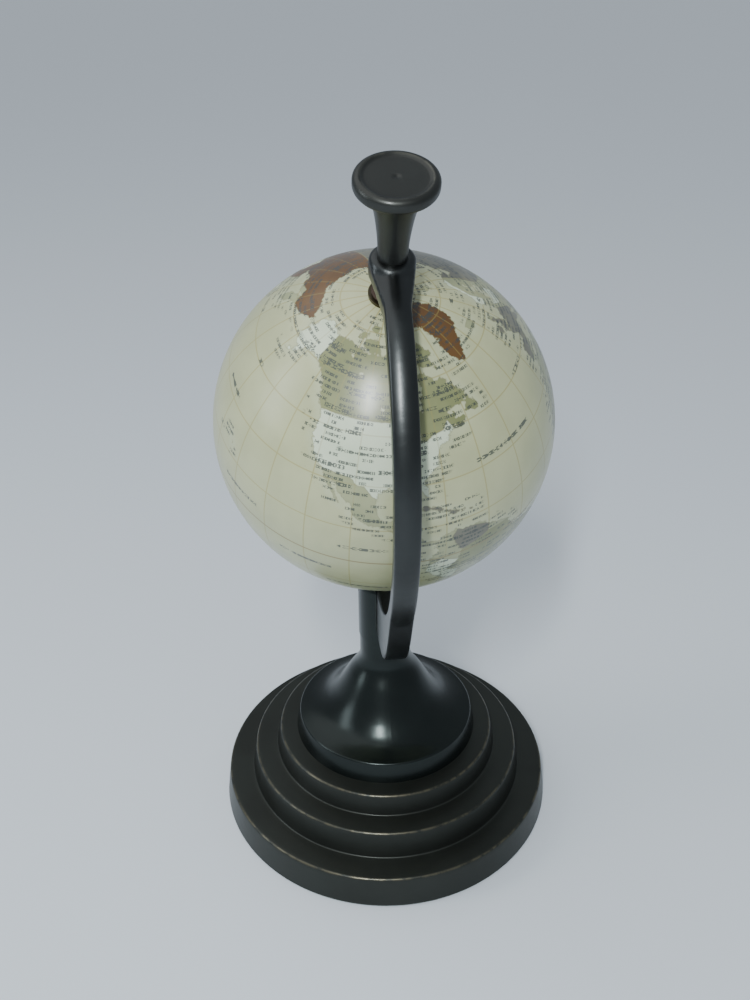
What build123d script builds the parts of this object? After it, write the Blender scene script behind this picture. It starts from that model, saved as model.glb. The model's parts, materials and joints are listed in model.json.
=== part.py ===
"""Desktop globe on a stepped, trumpet-shaped stand.

Frame: millimetres, +Z up, origin at the middle of the underside of the base pad.
The meridian arc lies in the XZ plane and the north pole leans towards +X.
"""
from math import cos, radians, sin, sqrt
import os

from build123d import *

# ---------------------------------------------------------------- globe ball
globe_radius = 60.0            # outer face of the map
map_thickness = 0.4
shell_wall = 2.0
axis_tilt = 23.5               # degrees from the vertical, towards +X
equator_band_wall = 1.6
equator_band_half_angle = 7.0  # degrees each side of the equator

# ------------------------------------------------------------------- bearing
pivot_radius = 2.5
pivot_running_gap = 0.06       # radial, pin in bush
bush_barrel_radius = 5.0
bush_flange_radius = 7.0
bush_flange_thickness = 1.0
bush_depth = 7.0               # barrel length below the flange
axial_play = 0.3
washer_radius = 6.0
washer_thickness = 0.8
pivot_collar_radius = 4.5
pivot_collar_thickness = 1.2
spacer_radius = 4.0
slide_gap = 0.05               # radial gap of still pieces that slip together
pivot_thread_length = 9.0      # pin past the outer face of an eye
pivot_tip_reach = 1.0          # pin past the inner end of its bush

# -------------------------------------------------------------- meridian arc
arc_gap = 8.0                  # globe surface to the arc
arc_thickness = 6.4
arc_width = 8.2
arc_crown = 1.2                # how far the middle of the outer face stands out
eye_radius = 7.2
eye_taper_length = 17.0
eye_taper_end = 1.0            # straight stretch where the taper meets the arc
eye_proud = 0.5                # boss faces beyond both faces of the arc
eye_edge = 1.6                 # rounding of the outer rim of a boss
heel_start_angle = 31.0        # below the horizontal, where the arc starts to deepen
heel_knee_angle = 55.0
heel_knee_depth = 7.4          # past the outer face of the arc, at the knee
heel_flat = 12.0               # axis of the stem to the end of the heel's flat, forwards
heel_end = 9.0                 # axis of the stem to the back of the heel

# ---------------------------------------------------------------------- base
pad_thickness = 1.2
pad_inset = 0.6                # pad edge inside the lower edge of the plinth
plinth_radius = 68.8
plinth_height = 12.4
plinth_tread = 12.0            # plinth to the tier above, radially
second_tier_height = 11.3
second_tier_tread = 10.8
third_tier_height = 8.8
tier_draft = 1.7               # each tier is this much smaller at its top
tier_edge = 0.9                # rounding of the tier edges
base_wall = 3.6
base_boss_radius = 13.0
base_boss_depth = 9.0

# ---------------------------------------------------------------------- stem
third_tier_tread = 8.6         # third tier to the foot of the stem, radially
foot_height = 8.3
flare_height = 30.0            # foot top to neck
flare_waist_radius = 14.2
flare_waist_height = 20.0      # above the foot top
neck_radius = 10.1
neck_height = 8.5              # plain neck below the ring step
ring_step = 0.35               # the fork is this much fuller than the neck
fork_rise = 18.6               # ring step to the lowest point of the arc
fork_notch_rise = 7.3          # ring step to the floor of the notch
fork_side_gap = 0.1            # prong to arc, each side
fork_tip_rise = 8.4            # prong tip above the lowest point of the arc
fork_tip_round = 3.6
stem_wall = 3.6
stem_core_radius = 8.0
spigot_radius = 9.0
spigot_length = 2.4

# ----------------------------------------------------------------- fasteners
tie_radius = 3.0
tie_engagement = 22.0          # stud length inside the stem
tie_washer_radius = 9.0
tie_washer_thickness = 1.6
tie_nut_flats = 10.0
tie_nut_height = 5.0
tie_stud_stickout = 1.5
thread_chamfer = 0.5
bolt_hole_gap = 0.3
fork_pin_radius = 1.5

# -------------------------------------------------------------------- finial
finial_foot_radius = 4.6
finial_waist_radius = 5.3
finial_waist_height = 10.6     # above the eye
finial_foot_band = 1.0         # plain band below the flare
finial_top_radius = 8.6
finial_stem_length = 23.6
finial_spigot_radius = 3.0
finial_spigot_length = 2.2
disc_radius = 12.4
disc_rim_thickness = 4.4
disc_edge = 1.5
disc_recess_radius = 10.4
disc_recess_depth = 0.5
disc_dimple_radius = 0.9
disc_dimple_depth = 0.5
cap_nut_wall = 1.55            # metal around the thread, in the dome
cap_nut_shoulder = 0.4         # hexagon beyond the dome
cap_nut_height = 4.0
cap_nut_tip_radius = 0.5       # flat left in the middle of the dome
cap_nut_tip_wall = 2.0         # metal past the end of the blind thread
thread_end_gap = 1.0           # free space past the end of a screwed-in pin
cut_past = 1.0                 # how far a cut runs on past the metal

# ------------------------------------------------------- levels and positions
second_tier_radius = plinth_radius - plinth_tread
third_tier_radius = second_tier_radius - second_tier_tread
foot_radius = third_tier_radius - third_tier_tread
plinth_top = pad_thickness + plinth_height
second_tier_top = plinth_top + second_tier_height
third_tier_top = second_tier_top + third_tier_height
foot_top = third_tier_top + foot_height
neck_start = foot_top + flare_height
ring_level = neck_start + neck_height
arc_bottom = ring_level + fork_rise
arc_inner_radius = globe_radius + arc_gap
arc_outer_radius = arc_inner_radius + arc_thickness
arc_middle_radius = arc_inner_radius + arc_thickness / 2
centre_height = arc_bottom + arc_outer_radius
notch_floor = ring_level + fork_notch_rise
fork_tip = arc_bottom + fork_tip_rise
fork_radius = neck_radius + ring_step

eye_inner_face = arc_inner_radius - eye_proud
eye_outer_face = arc_outer_radius + eye_proud
map_inner_radius = globe_radius - map_thickness
shell_inner_radius = map_inner_radius - shell_wall
bush_hole_radius = bush_barrel_radius + slide_gap
flange_seat = sqrt(globe_radius**2 - bush_hole_radius**2)
flange_face = flange_seat + bush_flange_thickness
washer_near_face = flange_face + axial_play
collar_near_face = washer_near_face + washer_thickness
spacer_near_face = collar_near_face + pivot_collar_thickness
pivot_tip = flange_seat - bush_depth - pivot_tip_reach
pivot_end = eye_outer_face + pivot_thread_length
finial_top_face = eye_outer_face + finial_stem_length
cap_nut_dome_radius = pivot_radius + slide_gap + cap_nut_wall

fine = 0.001                   # two levels closer than this are the same
tilt = radians(axis_tilt)
pole = Vector(sin(tilt), 0, cos(tilt))
sideways = Vector(cos(tilt), 0, -sin(tilt))
centre = Vector(0, 0, centre_height)
spin_axis = Axis(centre, pole)
arc_axis = Axis(centre, (0, 1, 0))
upright = Axis.Z
# local x runs outwards from the spin axis and local y towards the north pole
meridian_plane = Plane(origin=centre, x_dir=sideways, z_dir=(0, -1, 0))
# the same for the south pole, so that local y runs outwards there too
south_plane = Plane(origin=centre, x_dir=sideways, z_dir=(0, 1, 0))
polar_plane = Plane(origin=centre, x_dir=sideways, z_dir=pole)
arc_section_plane = Plane(origin=centre, x_dir=pole, z_dir=(-cos(tilt), 0, sin(tilt)))

fork_pin_level = arc_bottom + arc_thickness / 2
# a flat end this far out meets the round prong all along its edge
fork_pin_end = sqrt(fork_radius**2 - fork_pin_radius**2)


def block(low_x, low_y, high_x, high_y, mode=Mode.ADD):
    """A rectangle in the current sketch, given by two corners."""
    with Locations(((low_x + high_x) / 2, (low_y + high_y) / 2)):
        return Rectangle(high_x - low_x, high_y - low_y, mode=mode)


def arc_point(radius, angle):
    """A point in front of the stem, at an angle below the horizontal seen from the centre."""
    return (radius * cos(radians(angle)), centre_height - radius * sin(radians(angle)))


def tier(radius, bottom, top):
    """Half section of one base tier, leaning in a little towards its top."""
    return Polygon((0, bottom), (radius, bottom), (radius - tier_draft, top), (0, top), align=None)


def make_base_pad():
    with BuildPart() as base_pad:
        with BuildSketch():
            Circle(plinth_radius - pad_inset)
        extrude(amount=pad_thickness)
    return base_pad


def make_stepped_base():
    tiers = (
        (plinth_radius, pad_thickness, plinth_top),
        (second_tier_radius, plinth_top, second_tier_top),
        (third_tier_radius, second_tier_top, third_tier_top),
    )
    boss_bottom = third_tier_top - base_wall - base_boss_depth
    with BuildPart() as stepped_base:
        with BuildSketch(Plane.XZ) as section:
            for radius, bottom, top in tiers:
                tier(radius, bottom, top)
            for radius, _, top in tiers:
                crest = Vertex(radius - tier_draft, top, 0)
                fillet(section.vertices().sort_by_distance(crest)[0], tier_edge)
            for radius, bottom, top in tiers:
                block(0, bottom - base_wall * (bottom > pad_thickness), radius - tier_draft - base_wall,
                      top - base_wall, mode=Mode.SUBTRACT)
            block(0, boss_bottom, base_boss_radius, third_tier_top - base_wall)
            block(0, 0, tie_radius + bolt_hole_gap, third_tier_top, mode=Mode.SUBTRACT)
            block(0, third_tier_top - spigot_length - slide_gap, spigot_radius + slide_gap,
                  third_tier_top, mode=Mode.SUBTRACT)
        revolve(axis=upright)
    return stepped_base


def make_trumpet_stem():
    flare_end = (neck_radius, neck_start)
    waist = (flare_waist_radius, foot_top + flare_waist_height)
    lip = foot_radius - tier_draft
    notch_half = arc_width / 2 + fork_side_gap
    core_top = foot_top + flare_waist_height - stem_wall
    core_wall = stem_core_radius + stem_wall
    skirt_wall = lip - stem_wall
    with BuildPart() as trumpet_stem:
        with BuildSketch(Plane.XZ):
            with BuildLine():
                flare = Spline((lip, foot_top), waist, flare_end, tangents=((-1, 0.12), (0, 1)))
                Polyline(flare @ 1, (neck_radius, ring_level), (fork_radius, ring_level + ring_step),
                         (fork_radius, fork_tip), (0, fork_tip), (0, third_tier_top - spigot_length),
                         (spigot_radius, third_tier_top - spigot_length), (spigot_radius, third_tier_top),
                         (foot_radius, third_tier_top), flare @ 0)
            make_face()
        revolve(axis=upright)
        rings = trumpet_stem.edges().filter_by(GeomType.CIRCLE)
        fillet(rings.sort_by(Axis.Z)[-1], fork_tip_round)
        rings = trumpet_stem.edges().filter_by(GeomType.CIRCLE)
        fillet(rings.filter_by(lambda ring: abs(ring.center().Z - foot_top) < fine)[0], tier_edge)
        # hollow under the flare, around the core that takes the tie stud
        with BuildSketch(Plane.XZ):
            with BuildLine():
                Polyline((core_wall, third_tier_top), (skirt_wall, third_tier_top),
                         (skirt_wall, foot_top - stem_wall), (flare_waist_radius + stem_wall, foot_top),
                         (core_wall, core_top - stem_wall), close=True)
            make_face()
        revolve(axis=upright, mode=Mode.SUBTRACT)
        # notch between the prongs, where the heel of the arc stands
        with BuildSketch(Plane.YZ):
            block(-notch_half, notch_floor, notch_half, fork_tip + cut_past)
        extrude(amount=fork_radius + cut_past, both=True, mode=Mode.SUBTRACT)
        with Locations((0, 0, third_tier_top - spigot_length)):
            Cylinder(tie_radius + slide_gap, tie_engagement + spigot_length + thread_end_gap,
                     align=(Align.CENTER, Align.CENTER, Align.MIN), mode=Mode.SUBTRACT)
        # cross hole for the pin that holds the arc
        with BuildSketch(Plane.XZ):
            with Locations((0, fork_pin_level)):
                Circle(fork_pin_radius + slide_gap)
        extrude(amount=fork_radius + cut_past, both=True, mode=Mode.SUBTRACT)
    return trumpet_stem


tie_washer_top = third_tier_top - base_wall - base_boss_depth
tie_nut_top = tie_washer_top - tie_washer_thickness
tie_nut_bottom = tie_nut_top - tie_nut_height


def make_tie_stud():
    with BuildPart() as tie_stud:
        with BuildSketch(Plane.XY.offset(tie_nut_bottom - tie_stud_stickout)):
            Circle(tie_radius)
        extrude(amount=third_tier_top + tie_engagement - tie_nut_bottom + tie_stud_stickout)
        chamfer(tie_stud.edges().filter_by(GeomType.CIRCLE), thread_chamfer)
    return tie_stud


def make_tie_washer():
    with BuildPart() as tie_washer:
        with BuildSketch(Plane.XY.offset(tie_nut_top)):
            Circle(tie_washer_radius)
            Circle(tie_radius + bolt_hole_gap, mode=Mode.SUBTRACT)
        extrude(amount=tie_washer_thickness)
    return tie_washer


def make_tie_nut():
    with BuildPart() as tie_nut:
        with BuildSketch(Plane.XY.offset(tie_nut_bottom)):
            RegularPolygon(tie_nut_flats / 2, 6, major_radius=False)
            Circle(tie_radius + slide_gap, mode=Mode.SUBTRACT)
        extrude(amount=tie_nut_height)
    return tie_nut


def make_meridian_arc():
    half = arc_width / 2
    edge_radius = arc_outer_radius - arc_crown
    heel_direction = (-sin(radians(heel_start_angle)), -cos(radians(heel_start_angle)))
    with BuildPart() as eyes:
        with BuildSketch(polar_plane):
            Circle(eye_radius)
            with Locations((eye_taper_length, 0)):
                Rectangle(eye_taper_end, arc_width)
            make_hull()
        extrude(amount=arc_outer_radius, both=True)
        with BuildSketch(meridian_plane):
            with BuildLine():
                top = CenterArc((0, 0), edge_radius, -90, 180)
                Line(top @ 1, top @ 0)
            make_face()
            with BuildLine():
                low = CenterArc((0, 0), arc_inner_radius, -90, 180)
                Line(low @ 1, low @ 0)
            make_face(mode=Mode.SUBTRACT)
        revolve(axis=spin_axis, mode=Mode.INTERSECT)
    with BuildPart() as meridian_arc:
        with BuildSketch(arc_section_plane):
            with BuildLine():
                ThreePointArc((edge_radius, -half), (arc_outer_radius, 0), (edge_radius, half))
                Polyline((edge_radius, half), (arc_inner_radius, half), (arc_inner_radius, -half),
                         (edge_radius, -half))
            make_face()
        revolve(axis=arc_axis, revolution_arc=180)
        add(eyes)
        for plane in (meridian_plane, south_plane):
            with BuildSketch(plane) as boss:
                block(0, eye_inner_face, eye_radius, eye_outer_face)
                fillet(boss.vertices().group_by(Axis.X)[-1].sort_by(Axis.Y)[-1], eye_edge)
            revolve(axis=spin_axis)
        with BuildSketch(polar_plane):
            Circle(pivot_radius + slide_gap)
        extrude(amount=eye_outer_face + cut_past, both=True, mode=Mode.SUBTRACT)
        # heel: the arc deepens downwards and stands on the floor of the notch
        with BuildSketch(Plane.XZ):
            with BuildLine():
                CenterArc((0, centre_height), arc_middle_radius, -90, 90 - heel_start_angle)
                start = arc_point(edge_radius, heel_start_angle)
                front = Spline(start, arc_point(arc_outer_radius + heel_knee_depth, heel_knee_angle),
                               (heel_flat, notch_floor), tangents=(heel_direction, (-1, 0)))
                Polyline(front @ 1, (-heel_end, notch_floor), (-heel_end, fork_pin_level),
                         arc_point(arc_middle_radius, 90))
                Line(arc_point(arc_middle_radius, heel_start_angle), start)
            make_face()
        extrude(amount=half, both=True)
        with BuildSketch(Plane.XZ):
            with Locations((0, fork_pin_level)):
                Circle(fork_pin_radius + slide_gap)
        extrude(amount=arc_width, both=True, mode=Mode.SUBTRACT)
    return meridian_arc


def make_fork_pin():
    with BuildPart() as fork_pin:
        with BuildSketch(Plane.XZ):
            with Locations((0, fork_pin_level)):
                Circle(fork_pin_radius)
        extrude(amount=fork_pin_end, both=True)
    return fork_pin


def make_pivot_pin(plane):
    with BuildPart() as pivot_pin:
        with BuildSketch(plane):
            block(0, pivot_tip, pivot_radius, pivot_end)
            block(0, collar_near_face, pivot_collar_radius, spacer_near_face)
        revolve(axis=spin_axis)
    return pivot_pin


def make_spacer(plane):
    with BuildPart() as spacer:
        with BuildSketch(plane):
            block(pivot_radius + slide_gap, spacer_near_face, spacer_radius, eye_inner_face)
        revolve(axis=spin_axis)
    return spacer


def make_washer(plane):
    with BuildPart() as washer:
        with BuildSketch(plane):
            block(pivot_radius + slide_gap, washer_near_face, washer_radius, collar_near_face)
        revolve(axis=spin_axis)
    return washer


def make_bush(plane):
    with BuildPart() as bush:
        with BuildSketch(plane):
            block(pivot_radius + pivot_running_gap, flange_seat - bush_depth,
                  bush_barrel_radius, flange_face)
            block(bush_barrel_radius, flange_seat, bush_flange_radius, flange_face)
        revolve(axis=spin_axis)
    return bush


def cap_section(inner, outer):
    """Section of half a hollow ball, from the equator to the hole for the bush."""
    Circle(outer)
    Circle(inner, mode=Mode.SUBTRACT)
    block(bush_hole_radius, 0, outer, outer, mode=Mode.INTERSECT)


def make_shell(plane):
    with BuildPart() as shell:
        with BuildSketch(plane):
            cap_section(shell_inner_radius, map_inner_radius)
        revolve(axis=spin_axis)
    return shell


def make_map(plane):
    with BuildPart() as map_cover:
        with BuildSketch(plane):
            cap_section(map_inner_radius, globe_radius)
        revolve(axis=spin_axis)
    return map_cover


def make_equator_band():
    outer = shell_inner_radius - slide_gap
    inner = shell_inner_radius - equator_band_wall
    spread = 2 * equator_band_half_angle
    with BuildPart() as equator_band:
        with BuildSketch(meridian_plane):
            with BuildLine():
                face = CenterArc((0, 0), outer, -equator_band_half_angle, spread)
                back = CenterArc((0, 0), inner, -equator_band_half_angle, spread)
                Line(face @ 0, back @ 0)
                Line(face @ 1, back @ 1)
            make_face()
        revolve(axis=spin_axis)
    return equator_band


def make_finial_stem():
    bottom = eye_outer_face
    top = finial_top_face
    waist = (finial_waist_radius, bottom + finial_waist_height)
    band = (finial_foot_radius, bottom + finial_foot_band)
    hole_end = pivot_end + thread_end_gap
    with BuildPart() as finial_stem:
        with BuildSketch(meridian_plane):
            with BuildLine():
                flare = Spline(band, waist, (finial_top_radius, top), tangents=((0, 1), (0.5, 1)))
                Polyline(flare @ 1, (finial_spigot_radius, top), (finial_spigot_radius, top +
                         finial_spigot_length), (0, top + finial_spigot_length), (0, bottom),
                         (finial_foot_radius, bottom), flare @ 0)
            make_face()
            block(0, bottom, pivot_radius + slide_gap, hole_end, mode=Mode.SUBTRACT)
        revolve(axis=spin_axis)
    return finial_stem


def make_finial_disc():
    low = finial_top_face
    high = low + disc_rim_thickness
    with BuildPart() as finial_disc:
        with BuildSketch(meridian_plane) as section:
            block(0, low, disc_radius, high)
            fillet(section.vertices().sort_by(Axis.X)[-2:], disc_edge)
            block(0, high - disc_recess_depth, disc_recess_radius, high, mode=Mode.SUBTRACT)
            block(0, high - disc_recess_depth - disc_dimple_depth, disc_dimple_radius, high,
                  mode=Mode.SUBTRACT)
            block(0, low, finial_spigot_radius + slide_gap, low + finial_spigot_length + slide_gap,
                  mode=Mode.SUBTRACT)
        revolve(axis=spin_axis)
    return finial_disc


def make_cap_nut():
    seat = Plane(origin=centre - pole * eye_outer_face, x_dir=(0, 1, 0), z_dir=-pole)
    blind_end = pivot_thread_length + thread_end_gap
    with BuildPart() as cap_nut:
        with BuildSketch(seat):
            RegularPolygon(cap_nut_dome_radius + cap_nut_shoulder, 6, major_radius=False)
        extrude(amount=cap_nut_height)
        with BuildSketch(seat):
            Circle(cap_nut_dome_radius)
        extrude(amount=blind_end + cap_nut_tip_wall)
        fillet(cap_nut.edges().sort_by(Axis(centre, -pole))[-1], cap_nut_dome_radius - cap_nut_tip_radius)
        with BuildSketch(seat):
            Circle(pivot_radius + slide_gap)
        extrude(amount=blind_end, mode=Mode.SUBTRACT)
    return cap_nut


pieces = {
    "base_pad": make_base_pad(),
    "stepped_base": make_stepped_base(),
    "trumpet_stem": make_trumpet_stem(),
    "tie_stud": make_tie_stud(),
    "tie_washer": make_tie_washer(),
    "tie_nut": make_tie_nut(),
    "meridian_arc": make_meridian_arc(),
    "fork_pin": make_fork_pin(),
    "north_pivot_pin": make_pivot_pin(meridian_plane),
    "south_pivot_pin": make_pivot_pin(south_plane),
    "north_spacer": make_spacer(meridian_plane),
    "south_spacer": make_spacer(south_plane),
    "north_washer": make_washer(meridian_plane),
    "south_washer": make_washer(south_plane),
    "finial_stem": make_finial_stem(),
    "finial_disc": make_finial_disc(),
    "south_cap_nut": make_cap_nut(),
    "north_bush": make_bush(meridian_plane),
    "south_bush": make_bush(south_plane),
    "north_shell": make_shell(meridian_plane),
    "south_shell": make_shell(south_plane),
    "equator_band": make_equator_band(),
    "north_map": make_map(meridian_plane),
    "south_map": make_map(south_plane),
}

os.makedirs("parts", exist_ok=True)
for name, piece in pieces.items():
    piece.part.label = name
    export_step(piece.part, f"parts/{name}.step")

print("globe centre height", round(centre_height, 2))
print("finial top from the globe centre", round(finial_top_face + disc_rim_thickness, 2))
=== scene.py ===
# %% [markdown]
# # A desktop globe on a stepped stand
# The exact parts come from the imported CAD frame. This lesson adds what a maker would do by hand afterwards:
# the printed map on the ball, the turned and patinated metal, the light and the camera. Every length is in
# metres and every piece is made where the frame says it belongs.

# %% Load the frame
import json
from math import atan2, cos, degrees, pi, radians, sin

import bmesh
import bpy
import numpy as np
from mathutils import Matrix, Vector


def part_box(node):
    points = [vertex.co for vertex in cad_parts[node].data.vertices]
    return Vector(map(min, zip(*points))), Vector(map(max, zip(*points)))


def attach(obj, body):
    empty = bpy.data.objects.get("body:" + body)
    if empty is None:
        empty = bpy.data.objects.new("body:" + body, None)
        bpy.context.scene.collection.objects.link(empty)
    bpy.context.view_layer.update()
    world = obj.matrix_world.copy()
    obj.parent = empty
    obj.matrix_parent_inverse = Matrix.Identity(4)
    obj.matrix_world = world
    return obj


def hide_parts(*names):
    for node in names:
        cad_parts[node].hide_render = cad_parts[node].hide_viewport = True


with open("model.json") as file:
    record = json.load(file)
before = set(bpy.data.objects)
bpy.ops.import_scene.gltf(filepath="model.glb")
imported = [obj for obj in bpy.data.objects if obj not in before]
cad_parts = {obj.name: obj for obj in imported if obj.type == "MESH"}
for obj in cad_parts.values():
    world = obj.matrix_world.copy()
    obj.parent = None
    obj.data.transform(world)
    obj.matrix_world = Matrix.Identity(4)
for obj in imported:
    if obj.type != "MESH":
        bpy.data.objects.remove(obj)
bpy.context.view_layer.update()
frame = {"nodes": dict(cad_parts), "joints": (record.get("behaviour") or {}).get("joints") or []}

# %% [markdown]
# ## Camera
# The camera is made first, so that everything after it can be judged from the right place. It stands a
# little above the finial and looks down at about thirty degrees. A small roll is kept, because a camera
# held by hand is never quite level. Three turns in a row say it clearly: heading, then pitch, then roll.

# %% Camera
millimetre = 0.001
camera_distance = 320.8 * millimetre
camera_height = 329.6 * millimetre
camera_side = radians(-5.5)
camera_yaw = radians(0.61)
camera_pitch = radians(30.43)
camera_roll = radians(-0.61)
lens_length = 36.0


def make_camera():
    """A still camera on the arc's side of the globe."""
    camera = bpy.data.objects.new("camera", bpy.data.cameras.new("camera"))
    place = Matrix.Translation((camera_distance * cos(camera_side), camera_distance * sin(camera_side),
                                camera_height))
    heading = Matrix.Rotation(camera_side + pi + camera_yaw - pi / 2, 4, "Z")
    pitch = Matrix.Rotation(pi / 2 - camera_pitch, 4, "X")
    roll = Matrix.Rotation(camera_roll, 4, "Z")
    camera.matrix_world = place @ heading @ pitch @ roll
    camera.data.lens = lens_length
    camera.data.sensor_width = lens_length
    bpy.context.scene.collection.objects.link(camera)
    bpy.context.scene.camera = camera
    return camera


camera = make_camera()
print("camera at", [round(value, 3) for value in camera.matrix_world.translation])

# %% [markdown]
# ## Studio
# Dark metal shows mostly what is around it, so the studio matters as much as the material. A very large
# pale floor, a dim pale sky and a very soft sun light everything evenly. Two tall area lamps draw the long
# highlights on the ball and the trumpet. A lamp shines along its own -Z axis, so it is turned until that
# meets the ball.

# %% Floor, sky and lamps
floor_half_size = 6.0
floor_grey = (0.66, 0.70, 0.74, 1)
lamp_target = Vector((0, 0, 0.14))


def make_floor():
    """A flat pale floor just under the felt."""
    bm = bmesh.new()
    bmesh.ops.create_grid(bm, x_segments=1, y_segments=1, size=floor_half_size)
    floor = bpy.data.objects.new("floor", bpy.data.meshes.new("floor"))
    bm.to_mesh(floor.data)
    bm.free()
    bpy.context.scene.collection.objects.link(floor)
    paint = bpy.data.materials.new("floor_paint")
    paint.use_nodes = True
    shader = paint.node_tree.nodes["Principled BSDF"]
    shader.inputs["Base Color"].default_value = floor_grey
    shader.inputs["Roughness"].default_value = 0.75
    shader.inputs["Specular IOR Level"].default_value = 0.2
    floor.data.materials.append(paint)


def make_lamp(name, place, width, tall, watts, colour):
    """A soft rectangular lamp that points at the globe."""
    lamp = bpy.data.lights.new(name, "AREA")
    lamp.shape = "RECTANGLE"
    lamp.size = width
    lamp.size_y = tall
    lamp.energy = watts
    lamp.color = colour
    holder = bpy.data.objects.new(name, lamp)
    holder.location = place
    holder.rotation_euler = (Vector(place) - lamp_target).to_track_quat("Z", "Y").to_euler()
    bpy.context.scene.collection.objects.link(holder)


def make_daylight(strength, spread, direction):
    """A very soft sun, which lights the whole floor evenly."""
    sun = bpy.data.lights.new("daylight", "SUN")
    sun.energy = strength
    sun.angle = spread
    holder = bpy.data.objects.new("daylight", sun)
    holder.rotation_euler = Vector(direction).to_track_quat("Z", "Y").to_euler()
    bpy.context.scene.collection.objects.link(holder)


def make_sky(colour, strength):
    """A plain sky of one colour, which lights from all round and which metal mirrors."""
    sky = bpy.data.worlds.new("sky")
    bpy.context.scene.world = sky
    sky.use_nodes = True
    background = sky.node_tree.nodes["Background"]
    background.inputs["Color"].default_value = colour
    background.inputs["Strength"].default_value = strength


make_floor()
make_sky(colour=(0.80, 0.90, 1.0, 1), strength=0.46)
make_lamp("key_lamp", place=(0.66, -0.20, 0.76), width=0.06, tall=0.34, watts=8.0, colour=(0.92, 0.97, 1.0))
make_lamp("side_lamp", place=(0.10, -1.10, 0.60), width=0.30, tall=0.70, watts=3.5, colour=(0.86, 0.94, 1.0))
make_daylight(strength=0.80, spread=radians(60), direction=(-0.25, -0.45, 1.0))
print("lights", [light.name for light in bpy.data.lights])

# %% [markdown]
# ## Helpers for the node trees
# A material is a small calculation. Typing it as nodes takes three lines for every sum, so two helpers keep
# it readable: `calc` adds a Math node and `vector` a Vector Math node, and both hand back the result.


# %% Sums and vectors
def new_material(name):
    """An empty node material, its tree and its Principled shader."""
    material = bpy.data.materials.new(name)
    material.use_nodes = True
    tree = material.node_tree
    return material, tree, tree.nodes["Principled BSDF"]


def plug(tree, value, socket):
    """Gives a socket a number, a colour or another node's result."""
    if isinstance(value, bpy.types.NodeSocket):
        tree.links.new(value, socket)
    else:
        socket.default_value = value


def calc(tree, operation, *values):
    """One Math node."""
    node = tree.nodes.new("ShaderNodeMath")
    node.operation = operation
    for value, socket in zip(values, node.inputs):
        plug(tree, value, socket)
    return node.outputs[0]


def vector(tree, operation, *values):
    """One Vector Math node; a dot product or a length comes back as a number."""
    node = tree.nodes.new("ShaderNodeVectorMath")
    node.operation = operation
    for value, socket in zip(values, node.inputs):
        plug(tree, value, socket)
    return node.outputs["Value" if operation in ("DOT_PRODUCT", "LENGTH") else "Vector"]


print("sums and vectors ready")

# %% [markdown]
# ## Masks, mixes and relief
# A few more helpers cover nearly everything a finish needs. `ramp` turns any number into a mask, `mix` lays
# one colour over another by a mask, and `noise` brings the unevenness of handwork. `stored` reads a number
# from the vertices, and `bump` tilts the surface direction, so light shows a relief that is too fine for
# the mesh.


# %% Masks, mixes and relief
def ramp(tree, value, low, high):
    """0 below low, 1 above high, and a soft step between."""
    node = tree.nodes.new("ShaderNodeMapRange")
    node.interpolation_type = "SMOOTHSTEP"
    plug(tree, value, node.inputs["Value"])
    node.inputs["From Min"].default_value = low
    node.inputs["From Max"].default_value = high
    return node.outputs[0]


def mix(tree, share, first, second):
    """One colour over another."""
    node = tree.nodes.new("ShaderNodeMix")
    node.data_type = "RGBA"
    plug(tree, share, node.inputs["Factor"])
    plug(tree, first, node.inputs["A"])
    plug(tree, second, node.inputs["B"])
    return node.outputs["Result"]


def noise(tree, coords, scale, detail=2.0, roughness=0.5):
    """Smooth noise from 0 to 1, with about `scale` bumps in a metre or a degree."""
    node = tree.nodes.new("ShaderNodeTexNoise")
    plug(tree, coords, node.inputs["Vector"])
    node.inputs["Scale"].default_value = scale
    node.inputs["Detail"].default_value = detail
    node.inputs["Roughness"].default_value = roughness
    return node.outputs["Fac"]


def stored(tree, field):
    """A number that was stored on the vertices."""
    node = tree.nodes.new("ShaderNodeAttribute")
    node.attribute_name = field
    return node.outputs["Fac"]


def object_coords(tree):
    """The place in the row frame, in metres."""
    return tree.nodes.new("ShaderNodeTexCoord").outputs["Object"]


def bump(tree, height, distance, strength):
    """A surface direction pushed about by a height in 0 to 1 times a distance in metres."""
    node = tree.nodes.new("ShaderNodeBump")
    plug(tree, height, node.inputs["Height"])
    node.inputs["Distance"].default_value = distance
    node.inputs["Strength"].default_value = strength
    return node.outputs["Normal"]


print("masks, mixes and relief ready")

# %% [markdown]
# ## Patinated metal
# The stand is brass that was darkened in a chemical bath and then waxed. The bath takes unevenly, so the
# tone drifts over a few centimetres and is mottled over a few millimetres. Hands and dusters rub it off the
# edges first, and bare metal shines through there. A Bevel node gives the direction that a slightly rounded
# edge would have: where it differs from the true direction, there is an edge, on every piece and with no
# painting. Turned pieces store their wear on the vertices as well, because there it belongs on the crests
# and not in the corners.


# %% Patinated metal
edge_width = 0.9 * millimetre
drift_scale = 28.0
mottle_scale = 210.0
wear_scale = 260.0
grain_scale = 1500.0
drift_share = 0.65
mottle_relief = 0.7
relief_strength = 0.55
least_roughness = 0.85
mottle_roughness = 0.3
grain_roughness = 0.15
rubbed_shine = 0.4
wax_roughness = 0.22


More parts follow.
